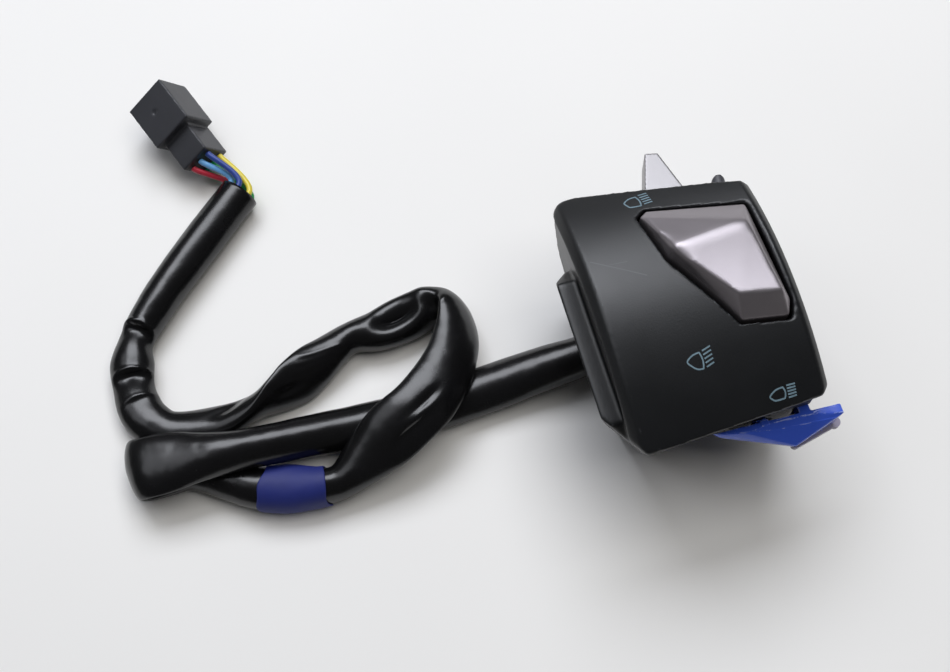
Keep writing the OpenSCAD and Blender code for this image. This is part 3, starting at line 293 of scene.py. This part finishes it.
sleeveLook = {
    # the film's middle line, its wide direction, its half width and half height: the slack sleeve flattens and twists
    "film": [
        (-15.4, 11.5, -14.5, 0, -1, 0, 5.2, 5.2), (-22.3, 10.7, -15.5, 0, -1, 0, 5.6, 5),
        (-30.4, 10.6, -16.6, 0, -1, 0, 6.1, 4.9), (-38.8, 10.3, -17.9, 0, -1, 0, 6.4, 4.7),
        (-50.2, 9.5, -18.5, 0, -1, 0, 6.6, 4.4), (-61.5, 8.4, -18.4, 0, -1, 0, 6.4, 4.6),
        (-72.5, 8.1, -18.2, 0, -1, 0, 6.1, 4.8), (-86.0, 8.5, -17.6, 0, -1, 0, 5.9, 4.9),
        (-99.1, 8.6, -15, 0, -1, 0, 5.5, 5), (-109.4, 8.5, -12.8, 0, -1, 0, 5.3, 5),
        (-118.2, 8.8, -11.6, 0, -1, 0, 5.7, 4.5), (-124.6, 9.4, -11.4, 0, -1, 0, 6.6, 3.7),
        (-130.2, 10.0, -11.6, 0.03, -1, 0, 7.7, 3), (-134.9, 10.4, -11.8, 0.05, -1, 0, 8.2, 2.6),
        (-138.3, 10.6, -12.2, 0.05, -1, 0, 8.2, 2.4), (-140.9, 11.1, -13.6, 0.05, -1, 0, 8, 2.3),
        (-142.1, 11.6, -15.9, 0.05, -1, 0, 7.9, 2.2), (-141.8, 11.6, -18.3, 0.05, -1, 0, 7.7, 2.3),
        (-139.2, 11.2, -19.8, 0, -1, 0, 7.3, 2.5), (-134.1, 10.8, -20, 0, -1, 0, 6.7, 2.9),
        (-128.8, 9.9, -19.5, 0, -1, 0, 6, 3.5), (-123.9, 7.0, -18.8, 0, -1, 0, 5.6, 4.2),
        (-118.1, 2.8, -18.3, 0, -1, 0, 5.5, 4.7), (-111.7, -1.0, -18.1, 0, -1, 0, 5.6, 4.9),
        (-104.7, -3.0, -18.1, 0, -1, 0, 5.9, 4.9), (-97.2, -4.7, -18, 0.05, -1, 0, 4.9, 5),
        (-91.0, -4.7, -17.4, 0.2, -0.95, 0, 4.9, 4.7), (-83.8, -1.6, -14, 0.5, -0.86, -0.04, 6.8, 3.6),
        (-76.1, 1.7, -10.3, 0.66, -0.75, -0.08, 8.3, 2.9), (-68.8, 4.9, -8.3, 0.72, -0.68, -0.14, 8.2, 2.8),
        (-62.2, 10.0, -8.8, 0.8, -0.55, -0.25, 7.8, 2.8), (-56.3, 16.9, -10.8, 0.86, -0.3, -0.42, 7.3, 3),
        (-52.3, 24.7, -13.2, 0.8, 0, -0.6, 7, 3.2), (-51.0, 31.6, -15.2, 0.5, 0.25, -0.83, 6.8, 3.4),
        (-52.9, 35.8, -16.2, 0.1, 0.1, -0.99, 6.6, 3.9), (-57.3, 36.3, -17, -0.1, -0.6, -0.79, 6.3, 4.7),
        (-64.5, 35.0, -17.6, 0.1, -0.95, -0.3, 6.5, 5), (-72.1, 33.6, -17.9, 0.3, -0.95, 0, 5.8, 4.9),
        (-79.4, 33.7, -18.2, 0.35, -0.93, 0, 4.4, 4.6), (-85.2, 31.3, -17.6, 0.35, -0.85, -0.35, 4.9, 4.4),
        (-91.4, 27.8, -16.9, 0.35, -0.72, -0.6, 6.4, 3.5), (-96.5, 24.8, -16.6, 0.25, -0.62, -0.74, 7.1, 3),
        (-102.2, 22.4, -16.8, 0.15, -0.35, -0.92, 6.8, 3.1),
        (-110.2, 20.5, -17.2, -0.1, 0.35, -0.93, 6.3, 3.5),
        (-118.6, 19.3, -17.8, -0.2, 0.8, -0.56, 5.9, 3.9),
        (-126.8, 19.5, -18.4, -0.2, 0.95, -0.2, 5.7, 4.3), (-132.9, 21.1, -18.6, 0.2, 0.98, 0, 5.8, 4.4),
        (-136.9, 25.4, -18.5, 0.8, 0.6, 0, 5.9, 4.5), (-138.5, 30.2, -18.4, 0.97, 0.2, 0, 5.8, 4.6),
        (-138.8, 35.3, -18.4, 1, 0.05, 0, 5.5, 4.6), (-138.2, 42.0, -18.4, 1, -0.05, 0, 5.9, 4.6),
        (-136.0, 48.2, -18.2, 0.92, -0.35, 0, 4.7, 4.8), (-131.4, 54.2, -18, 0.8, -0.6, 0, 5, 5),
        (-125.0, 61.2, -17.9, 0.77, -0.63, 0, 5.4, 5.1), (-112.7, 73.2, -17.8, 0.75, -0.66, 0, 5.8, 5.1),
        (-99.8, 85.2, -17.8, 0.75, -0.66, 0, 5.6, 5.2),
    ],
    # hollows pressed into the film: row, angle, depth, half run, half breadth in mm, lean in degrees
    "dents": [
        (36.2, 100, 4.4, 7.6, 5.2, -12), (34.6, 80, 2.0, 3.6, 5.4, 0), (28.6, 165, 1.6, 8.0, 3.0, 0),
        (29.4, 100, 0.9, 6.0, 2.6, 15), (43.6, 120, 0.8, 6.0, 3.0, -20), (41.6, 60, 0.8, 5.0, 2.4, 30),
    ],
    # pleats where the bent sleeve buckles: row of the rim, angle, depth, run, half breadth and bow in mm
    "pleats": [
        (51.6, 95, 3.4, 5.0, 8.4, 2.6), (49.6, 95, 3.2, 4.6, 8.4, 2.2), (48.2, 100, 0.9, 3.4, 7.0, 1.0),
    ],
    # creases standing proud of the film: from row and angle, to row and angle, height and half width in mm
    "ridges": [
        (38.6, 60, 40.4, 125, 0.4, 0.5), (39.0, 55, 40.8, 115, 0.35, 0.45), (39.4, 50, 41.2, 105, 0.3, 0.45),
    ],
    "stations": 660,
    "around": 64,
    "filmMm": 0.6,
    "roundMm": 5.4,
    "pathSteps": 220,
}
filmPoints = [Vector(row[:3]) for row in sleeveLook["film"]]
filmWays = [Vector(row[3:6]).normalized() for row in sleeveLook["film"]]
filmWides = [row[6] for row in sleeveLook["film"]]
filmHighs = [row[7] for row in sleeveLook["film"]]
filmLast = len(filmPoints) - 1
filmRun = [0.0]  # millimetres along the sleeve at each row
for a, b in zip(filmPoints, filmPoints[1:]):
    filmRun.append(filmRun[-1] + (b - a).length)


def spline(values, t):
    i = min(int(t), len(values) - 2)
    f = t - i
    a, b = values[max(i - 1, 0)], values[i]
    c, d = values[i + 1], values[min(i + 2, len(values) - 1)]
    return (2 * b + (c - a) * f + (2 * a - 5 * b + 4 * c - d) * f * f + (3 * b - a - 3 * c + d) * f * f * f) / 2


def filmFrame(t):
    ahead = (spline(filmPoints, min(t + 0.08, filmLast)) - spline(filmPoints, max(t - 0.08, 0))).normalized()
    wide = spline(filmWays, t)
    wide = (wide - ahead * wide.dot(ahead)).normalized()
    return ahead, wide, ahead.cross(wide)


def filmPress(t, angle):
    total = 0.0
    here, degreeMm = spline(filmRun, t), math.radians(sleeveLook["roundMm"])
    for place, middle, depth, halfRun, halfBreadth, lean in sleeveLook["dents"]:
        u = here - spline(filmRun, place)
        if abs(u) > 1.6 * halfRun + halfBreadth:
            continue
        v = ((angle - middle + 180) % 360 - 180) * degreeMm
        c, q = math.cos(math.radians(lean)), math.sin(math.radians(lean))
        r = math.hypot((u * c + v * q) / halfRun, (v * c - u * q) / halfBreadth)
        if r < 1.35:
            total += depth * (0.5 + 0.5 * math.cos(math.pi * r / 1.35))  # a rounded hollow with a soft rim
    for place, middle, depth, run, halfBreadth, bow in sleeveLook["pleats"]:
        v = ((angle - middle + 180) % 360 - 180) * degreeMm / halfBreadth
        u = spline(filmRun, place) - bow * v * v - here  # how far below the rim
        if abs(v) < 1 and -1.2 < u < 4 * run:
            rim = -0.18 * depth * math.exp(-(u / 0.6) ** 2)  # the rim itself rolls outward a little
            fall = depth * (1 - math.exp(-u / 0.9)) * math.exp(-(u / run) ** 1.5) if u > 0 else 0
            total += (1 - v * v) ** 1.5 * (rim + fall)
    for t0, a0, t1, a1, height, halfWidth in sleeveLook["ridges"]:
        u0, u1 = spline(filmRun, t0) - here, spline(filmRun, t1) - here
        if min(abs(u0), abs(u1)) > 8 and u0 * u1 > 0:
            continue
        v0 = ((a0 - angle + 180) % 360 - 180) * degreeMm
        v1 = v0 + (a1 - a0) * degreeMm
        du, dv = u1 - u0, v1 - v0
        f = min(1, max(0, -(u0 * du + v0 * dv) / (du * du + dv * dv)))
        gap = math.hypot(u0 + du * f, v0 + dv * f)
        total -= height * math.exp(-gap / halfWidth) * (1 - (2 * f - 1) ** 4)
    return total


def sleevePoint(t, phi, grow=0.0):
    ahead, wide, thick = filmFrame(t)
    halfWide, halfHigh = spline(filmWides, t), spline(filmHighs, t)
    flatness = max(0, 1 - halfHigh / halfWide)
    lens = math.copysign(abs(math.sin(phi)) ** (1 + 0.35 * flatness), math.sin(phi))  # pressed film has keen edges
    offset = wide * (math.cos(phi) * halfWide) + thick * (lens * halfHigh)
    level = Vector((0, 0, 1)).cross(ahead)
    level = level.normalized() if level.length > 0.2 else wide
    angle = math.degrees(math.atan2(offset.dot(ahead.cross(level)), offset.dot(level)))
    length = offset.length
    size = max(length - filmPress(t, angle), min(length, 0.8)) + grow
    offset /= length
    point = spline(filmPoints, t) + offset * size
    point += offset * (noise.noise(point * 0.16) * 0.12 + noise.noise(point * 0.45) * 0.04)
    point.z = max(point.z, benchHeight + 0.03)
    return point


def ringStack(bm, rings, closeStart, closeEnd):
    for a, b in zip(rings, rings[1:]):
        for k in range(len(a)):
            n = (k + 1) % len(a)
            bm.faces.new((a[k], a[n], b[n], b[k]))
    if closeStart:
        bm.faces.new(rings[0])
    if closeEnd:
        bm.faces.new(list(reversed(rings[-1])))


sleeveMesh = bmesh.new()
rings = []
for i in range(sleeveLook["stations"] + 1):
    t = filmLast * i / sleeveLook["stations"]
    rings.append([sleeveMesh.verts.new(sleevePoint(t, 2 * math.pi * k / sleeveLook["around"]) * mm)
                  for k in range(sleeveLook["around"])])
film = sleeveLook["filmMm"]
for inward, t in ((0.25, filmLast), (0.75, filmLast - 0.03), (0.95, filmLast - 0.2), (1.0, filmLast - 0.4)):
    rings.append([sleeveMesh.verts.new(sleevePoint(t, 2 * math.pi * k / sleeveLook["around"], -film * inward) * mm)
                  for k in range(sleeveLook["around"])])
ringStack(sleeveMesh, rings, True, True)
sleevePiece = newPiece("sleevePiece", sleeveMesh, "housing", sleeveVinyl)
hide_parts("cable_sleeve", "harness_tail")

tapeLook = {
    "from": 23.05, "to": 25.3, "thickMm": 0.4, "liftMm": 0.12, "stations": 44, "around": 64, "waveSteps": 0.07,
    "lobeSteps": 0.16, "lobeAt": 110, "lobeWide": 35,  # the loose tongue on top, by angle
}
tapeMesh = bmesh.new()
tapeRings = []
for layer in ("under", "over"):
    count = tapeLook["stations"]
    order = range(count + 1) if layer == "over" else range(count, -1, -1)
    for i in order:
        ring = []
        for k in range(tapeLook["around"]):
            phi = 2 * math.pi * k / tapeLook["around"]
            wobble = tapeLook["waveSteps"] * (math.sin(2 * phi + 0.6) + 0.5 * math.sin(5 * phi))
            aside = (math.degrees(phi) - tapeLook["lobeAt"]) / tapeLook["lobeWide"]
            lobe = tapeLook["lobeSteps"] * math.exp(-aside ** 2)
            first = tapeLook["from"] + wobble - lobe
            second = tapeLook["to"] + 0.4 * wobble + 0.05 * math.sin(3 * phi)
            t = first + (second - first) * i / count
            lift = tapeLook["liftMm"] if layer == "under" else tapeLook["thickMm"] + tapeLook["liftMm"]
            ring.append(tapeMesh.verts.new(sleevePoint(t, phi, lift) * mm))
        tapeRings.append(ring)
tapeRings.append(tapeRings[0])
ringStack(tapeMesh, tapeRings, False, False)
tapePiece = newPiece("tapePiece", tapeMesh, "housing", tapeVinyl)
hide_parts("sleeve_tape")
print("sleeve and tape made")

# Six wires from the sleeve's end to the connector
wireLook = {
    "sleeveEnd": (-99.8, 85.2, -17.8), "sleeveWay": (12.6, 12.0, 0),
    "thickMm": 1.7, "ringMm": 3.6, "pitchMm": (3.1, 6), "leaveMm": 4, "enterMm": 2, "gapMm": 0.35,
    "seats": (5, 2, 1, 0, 3, 4), "steps": 28, "around": 20,
    "order": {"wire_navy": 0, "wire_yellow": 1, "wire_green": 2, "wire_teal": 3, "wire_red": 4, "wire_sky_blue": 5},
}
plugLook = {
    "place": (-113.4, 111.8, -12.6), "turn": (31, 4.5, -68), "lengthMm": 14.5, "tailMm": 9.3, "tailShift": (-0.6, -1.8),
}
plugMatrix = Matrix.Translation(plugLook["place"]) @ (
    Matrix.Rotation(math.radians(plugLook["turn"][2]), 4, "Z")
    @ Matrix.Rotation(math.radians(plugLook["turn"][1]), 4, "Y")
    @ Matrix.Rotation(math.radians(plugLook["turn"][0]), 4, "X"))


def sweep(bm, points, radius, around):
    stack = []
    side = None
    for i, p in enumerate(points):
        ahead = (points[min(i + 1, len(points) - 1)] - points[max(i - 1, 0)]).normalized()
        side = (Vector((0.1, 0.2, 1)) if side is None else side)
        side = (side - ahead * side.dot(ahead)).normalized()
        other = ahead.cross(side)
        stack.append([bm.verts.new((p + (side * math.cos(a) + other * math.sin(a)) * radius) * mm)
                      for a in (2 * math.pi * k / around for k in range(around))])
    ringStack(bm, stack, True, True)


sleeveEnd = Vector(wireLook["sleeveEnd"])
endWay = Vector(wireLook["sleeveWay"]).normalized()
endUp = (Vector((0, 0, 1)) - endWay * endWay.z).normalized()
for wireName, k in wireLook["order"].items():
    angle = math.radians(60 * k)
    spoke = endUp * math.cos(angle) + endWay.cross(endUp) * math.sin(angle)
    start = sleeveEnd + endWay * wireLook["gapMm"] + spoke * wireLook["ringMm"]
    seat = wireLook["seats"][k]
    column, row = seat % 3 - 1, seat // 3 - 0.5
    mouth = Vector((plugLook["lengthMm"] / 2 + plugLook["tailMm"] + wireLook["gapMm"],
                    plugLook["tailShift"][0] + column * wireLook["pitchMm"][0],
                    plugLook["tailShift"][1] + row * wireLook["pitchMm"][1]))
    end = plugMatrix @ mouth
    before = plugMatrix @ (mouth + Vector((wireLook["enterMm"], 0, 0)))
    after = start + endWay * wireLook["leaveMm"]
    line = []
    for i in range(wireLook["steps"] + 1):
        f = i / wireLook["steps"]
        line.append((1 - f) ** 3 * start + 3 * (1 - f) ** 2 * f * after + 3 * (1 - f) * f * f * before + f ** 3 * end)
    hidden = [start - endWay * 5, start - endWay * 2.5]  # the stretch inside the sleeve's mouth
    wireMesh = bmesh.new()
    sweep(wireMesh, hidden + line, wireLook["thickMm"] / 2, wireLook["around"])
    wirePiece = newPiece("piece_" + wireName, wireMesh, "housing", wireVinyls[wireName])
    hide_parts(wireName)
print("wires made")


# Soft copies of the moulded pieces: the solid on a fine grid, its edges eased as a mould leaves them
faceLook = {"riseMm": 30, "radiusMm": 73, "shiftMm": 4}


def faceHeight(y):
    radius = faceLook["radiusMm"]
    return np.sqrt(radius ** 2 - (y - faceLook["shiftMm"]) ** 2) + faceLook["riseMm"] - radius


def neighbourMean(points, pairs, counts):
    total = np.empty_like(points)
    for axis in range(3):
        total[:, axis] = (np.bincount(pairs[:, 0], points[pairs[:, 1], axis], len(points))
                          + np.bincount(pairs[:, 1], points[pairs[:, 0], axis], len(points)))
    return total / counts[:, None]


def softCopy(nodeName, pieceName, body, material, look):
    source = bmesh.new()
    source.from_mesh(nodes[nodeName].data)
    bmesh.ops.remove_doubles(source, verts=source.verts, dist=0.002 * mm)
    carrier = bpy.data.meshes.new(pieceName + "Grid")
    source.to_mesh(carrier)
    source.free()
    draft = bpy.data.objects.new(pieceName + "Grid", carrier)
    bpy.context.scene.collection.objects.link(draft)
    grid = draft.modifiers.new("grid", "REMESH")
    grid.mode = "VOXEL"
    grid.voxel_size = look["gridMm"] * mm
    mesh = bpy.data.meshes.new_from_object(draft.evaluated_get(bpy.context.evaluated_depsgraph_get()))
    bpy.data.objects.remove(draft)
    bpy.data.meshes.remove(carrier)
    mesh.name = pieceName
    count = len(mesh.vertices)
    points = np.empty(count * 3)
    mesh.vertices.foreach_get("co", points)
    points = points.reshape(-1, 3) / mm
    pairs = np.empty(len(mesh.edges) * 2, dtype=np.int32)
    mesh.edges.foreach_get("vertices", pairs)
    pairs = pairs.reshape(-1, 2)
    counts = np.maximum(np.bincount(pairs.ravel(), minlength=count), 1)
    for turn in range(look["passes"]):
        points += 0.5 * (neighbourMean(points, pairs, counts) - points)
    if "softer" in look:
        weight = look["softer"](points)[:, None]
        for turn in range(look["morePasses"]):
            points += 0.5 * weight * (neighbourMean(points, pairs, counts) - points)
    if look.get("crown"):
        # the face's facets go back to one true curve
        drop = faceHeight(points[:, 1]) - points[:, 2]
        keep = np.clip((0.13 - np.abs(drop)) / 0.08, 0, 1)
        points[:, 2] += drop * keep
    if "shape" in look:
        points = look["shape"](points)
    mesh.vertices.foreach_set("co", (points * mm).ravel())
    mesh.update()
    normals = np.empty(count * 3)
    mesh.vertices.foreach_get("normal", normals)
    # the convex edges, for pale rubbed dashes and, on the blue lever, a painted highlight
    bend = -((neighbourMean(points, pairs, counts) - points) * normals.reshape(-1, 3)).sum(1)
    layer = mesh.attributes.new("edgeWearAndSheen", "FLOAT", "POINT")
    layer.data.foreach_set("value", np.clip((bend / look["gridMm"] - 0.03) / 0.06, 0, 1).astype(np.float32))
    mesh.materials.clear()
    mesh.materials.append(material)
    mesh.shade_smooth()
    piece = bpy.data.objects.new(pieceName, mesh)
    bpy.context.scene.collection.objects.link(piece)
    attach(piece, body)
    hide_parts(nodeName)
    print("soft copy of", nodeName, "with", count, "points")
    return piece


lipLook = {"fromX": 17, "fromZ": 15, "overMm": 3}


def nearLip(points):
    # the long edges of the crowned face are rounder than the rest
    outward = np.clip((np.abs(points[:, 0]) - lipLook["fromX"]) / lipLook["overMm"], 0, 1)
    return outward * np.clip((points[:, 2] - lipLook["fromZ"]) / lipLook["overMm"], 0, 1)


softCopy("front_shell", "frontShell", "housing", blackAbs,
         {"gridMm": 0.35, "passes": 4, "softer": nearLip, "morePasses": 12, "crown": True})
softCopy("rear_shell", "rearShell", "housing", blackAbs, {"gridMm": 0.4, "passes": 4})
rockerLook = {
    "creaseFrom": (14.1, 16.6), "creaseTo": (-3.1, 14.3), "creaseMm": 5.5, "aboveMm": 29.5,
    "reachMm": 19.7, "hollowMm": 0.35,
}


def nearCrease(points):
    # the fold between the rocker's two planes is a soft roll, unlike its outer edges
    a, b = np.array(rockerLook["creaseFrom"]), np.array(rockerLook["creaseTo"])
    along = np.clip(((points[:, :2] - a) @ (b - a)) / ((b - a) @ (b - a)), 0, 1)
    gap = np.linalg.norm(points[:, :2] - a - along[:, None] * (b - a), axis=1)
    return np.clip(1.6 - gap / rockerLook["creaseMm"] * 1.6, 0, 1) * np.clip(points[:, 2] - rockerLook["aboveMm"], 0, 1)


def hollowPlane(points):
    # the plane beyond the fold is a little hollow, so it catches more light towards its end
    a, b = np.array(rockerLook["creaseFrom"]), np.array(rockerLook["creaseTo"])
    way = np.array((b[1] - a[1], a[0] - b[0])) / np.linalg.norm(b - a)
    share = np.clip((points[:, :2] - a) @ (way * math.copysign(1, -way[1])) / rockerLook["reachMm"], 0, 1)
    top = np.clip(points[:, 2] - faceHeight(points[:, 1]) - 0.4, 0, 1)
    points[:, 2] -= 4 * rockerLook["hollowMm"] * share * (1 - share) * top
    return points


softCopy("beam_rocker", "beamRocker", "rocker", taupeAbs,
         {"gridMm": 0.25, "passes": 16, "softer": nearCrease, "morePasses": 140, "shape": hollowPlane})
softCopy("turn_lever", "turnFin", "turn", finAbs, {"gridMm": 0.16, "passes": 8})
softCopy("horn_button", "hornButton", "horn", hornAbs, {"gridMm": 0.2, "passes": 8})
leverLook = {
    # the lever's front, by x: where its flat top ends, where the band under it ends, and the band's drop
    "x": (-3.3, 2.8, 5.3, 8.0, 13.1, 18.1, 21.8, 25.7, 28.7),
    "top": (-26.6, -28.5, -28.5, -28.2, -27.9, -28.1, -28.4, -29.4, -29.8),
    "band": (-26.8, -28.9, -29.5, -29.7, -29.5, -29.6, -29.9, -30.3, -30.4),
    "topMm": 14, "dropMm": 0.75, "topTilt": 0.1, "topSkinMm": 0.3, "topReachMm": 2.5,
}


def leverPlanes(points):
    # a band between the flat top and the long under face
    x, y, z = points.T
    top, band = (np.interp(x, leverLook["x"], leverLook[k]) for k in ("top", "band"))
    limit = leverLook["topMm"] - leverLook["dropMm"] * np.clip((top - y) / (top - band), 0, 1)
    points[:, 2] = np.where((y < top) & (z > limit), limit, z)
    flat = (y >= top) & (z > leverLook["topMm"] - leverLook["topSkinMm"])
    lean = leverLook["topTilt"] * np.clip(y - top, 0, leverLook["topReachMm"])  # the top leans away a little
    points[:, 2] -= np.where(flat, lean, 0)
    return points


softCopy("flash_lever", "flashLever", "flash", blueAbs,
         {"gridMm": 0.2, "passes": 6, "shape": leverPlanes})
plugPiece = softCopy("connector_housing", "plugHousing", "housing", plugNylon,
                     {"gridMm": 0.25, "passes": 6})
print("soft copies made")

# Printed beam marks on the crowned face: a lamp outline and five slanted bars, the usual road sign for a beam
markLook = {
    # corners of each lamp outline, its back and its foot, then the ends of its first and last bar
    "marks": [
        ((-3.83, 33.71), (-3.46, 30.4), (-7.07, 32.48), (-6.01, 30.66),
         (-3.0, 33.98), (-0.72, 34.1), (-2.59, 30.71), (-0.39, 30.94)),
        ((-3.75, -10.87), (-3.77, -14.67), (-7.03, -12.33), (-5.1, -14.49),
         (-2.96, -10.69), (-0.82, -10.04), (-2.93, -14.47), (-0.97, -13.81)),
        ((13.02, -23.03), (12.96, -25.44), (9.59, -24.31), (10.86, -25.48),
         (13.95, -22.86), (16.06, -22.89), (13.83, -25.48), (15.87, -25.4)),
    ],
    "lineMm": 0.36, "filmMm": 0.03, "glassBulgeMm": 0.35, "barCount": 5, "curveSteps": 6,
}


def ribbon(bm, points, closed):
    rows = []
    count = len(points)
    for i, (x, y) in enumerate(points):
        p = Vector(points[(i - 1) % count] if closed or i > 0 else points[0])
        n = Vector(points[(i + 1) % count] if closed or i < count - 1 else points[-1])
        way = (n - p).normalized()
        out = Vector((-way.y, way.x)) * markLook["lineMm"] / 2
        row = []
        for sign, lift in ((1, -0.05), (1, markLook["filmMm"]), (-1, markLook["filmMm"]), (-1, -0.05)):
            px, py = x + out.x * sign, y + out.y * sign
            row.append(bm.verts.new(Vector((px, py, faceHeight(py) + lift)) * mm))
        rows.append(row)
    if closed:
        rows.append(rows[0])
    ringStack(bm, rows, not closed, not closed)


marksMesh = bmesh.new()
for mark in markLook["marks"]:
    top, low, back, foot, barOne, tipOne, barLast, tipLast = (Vector(corner) for corner in mark)
    brow = (top + back) / 2 + (top - low).normalized() * 0.45 - (top - back).normalized() * 0.1
    bowl = [top, brow, back, (back + foot) / 2 + (foot - top).normalized() * 0.25, foot, low]
    steps = markLook["curveSteps"]
    outline = [spline(bowl, i / steps) for i in range(steps * (len(bowl) - 1))]
    outward = Vector((-(top - low).y, (top - low).x)).normalized() * -markLook["glassBulgeMm"]
    for i in range(2 * steps):
        f = i / (2 * steps)
        outline.append(low + (top - low) * f + outward * math.sin(math.pi * f))
    ribbon(marksMesh, outline, True)
    for i in range(markLook["barCount"]):
        f = i / (markLook["barCount"] - 1)
        first, second = barOne + (barLast - barOne) * f, tipOne + (tipLast - tipOne) * f
        ribbon(marksMesh, [first + (second - first) * g for g in (0, 0.25, 0.5, 0.75, 1)], False)
newPiece("beamMarks", marksMesh, "housing", markInk, smooth=False)
print("marks made")

# Finishes for the solids that show as they are
solidFinish = {
    "steel": zincSteel, "brass": stampedBrass, "base_plastic": blackNylon, "lever_grey": leverAcetal,
    "grommet_rubber": grommetRubber,
}
slotOf = {row["node"]: row["material_slot"] for row in frame["record"]["subparts"]}
for nodeName, nodeObject in nodes.items():
    finish = solidFinish.get(slotOf[nodeName])
    if finish and not nodeObject.hide_render:
        nodeObject.data.materials.clear()
        nodeObject.data.materials.append(finish)

# Bench, light and air
stageLook = {
    "benchSizeM": 6.0, "boardTones": ("#e5e4e2", "#ecebe9"), "boardCloudMm": 120, "boardRough": 0.75,
    "window": {"place": (0.0, 0.63, 0.87), "aim": (-0.02, 0.02, 0.0),
               "size": (0.9, 0.52), "watts": 10, "shine": True},
    "ceiling": {"place": (0.26, -0.02, 1.2), "aim": (-0.05, 0.06, 0.0),
                "size": (0.8, 0.8), "watts": 6.2, "shine": False},
    "side": {"place": (-0.6, 0.34, 0.8), "aim": (-0.08, 0.03, 0.0),
             "size": (0.5, 0.5), "watts": 1.2, "shine": True},
    "air": 0.06, "airTint": "#f2f2f4", "windowTint": "#f5f8ff", "ceilingTint": "#fffdf9",
}
benchMesh = bmesh.new()
bmesh.ops.create_grid(benchMesh, x_segments=8, y_segments=8, size=stageLook["benchSizeM"] / 2)
benchData = bpy.data.meshes.new("bench")
benchMesh.to_mesh(benchData)
benchMesh.free()
bench = bpy.data.objects.new("bench", benchData)
bench.location = (0, 0, benchHeight * mm)
bpy.context.scene.collection.objects.link(bench)
benchPaint, benchTree, benchShader, benchPlace = startMaterial("paperBoardPale")  # coated board, matt and pale
benchCloud = addNode(benchTree, "ShaderNodeTexNoise",
                     {"Vector": benchPlace, "Scale": perMetre(stageLook["boardCloudMm"]), "Detail": 2.0})
benchTone = addNode(benchTree, "ShaderNodeMix",
                    {"Factor": benchCloud.outputs["Fac"], "A": toLinear(stageLook["boardTones"][0]),
                     "B": toLinear(stageLook["boardTones"][1])}, data_type="RGBA")
benchTree.links.new(benchTone.outputs["Result"], benchShader.inputs["Base Color"])
benchShader.inputs["Roughness"].default_value = stageLook["boardRough"]
benchData.materials.append(benchPaint)
for lightName in ("window", "ceiling", "side"):
    look = stageLook[lightName]
    lamp = bpy.data.lights.new(lightName, "AREA")
    lamp.shape = "RECTANGLE"
    lamp.size, lamp.size_y = look["size"]
    lamp.energy = look["watts"]
    lamp.color = toLinear(stageLook["windowTint" if look["shine"] else "ceilingTint"])[:3]
    lampObject = bpy.data.objects.new(lightName, lamp)
    lampObject.location = look["place"]
    lampObject.visible_glossy = look["shine"]  # the ceiling lights the bench without showing in the gloss
    lampObject.rotation_mode = "QUATERNION"
    lampObject.rotation_quaternion = (Vector(look["aim"]) - Vector(look["place"])).to_track_quat("-Z", "Y")
    bpy.context.scene.collection.objects.link(lampObject)
world = bpy.data.worlds.new("studioAir")
bpy.context.scene.world = world
world.use_nodes = True
air = next(n for n in world.node_tree.nodes if n.type == "BACKGROUND")
air.inputs["Color"].default_value = toLinear(stageLook["airTint"])
air.inputs["Strength"].default_value = stageLook["air"]
print("stage set")
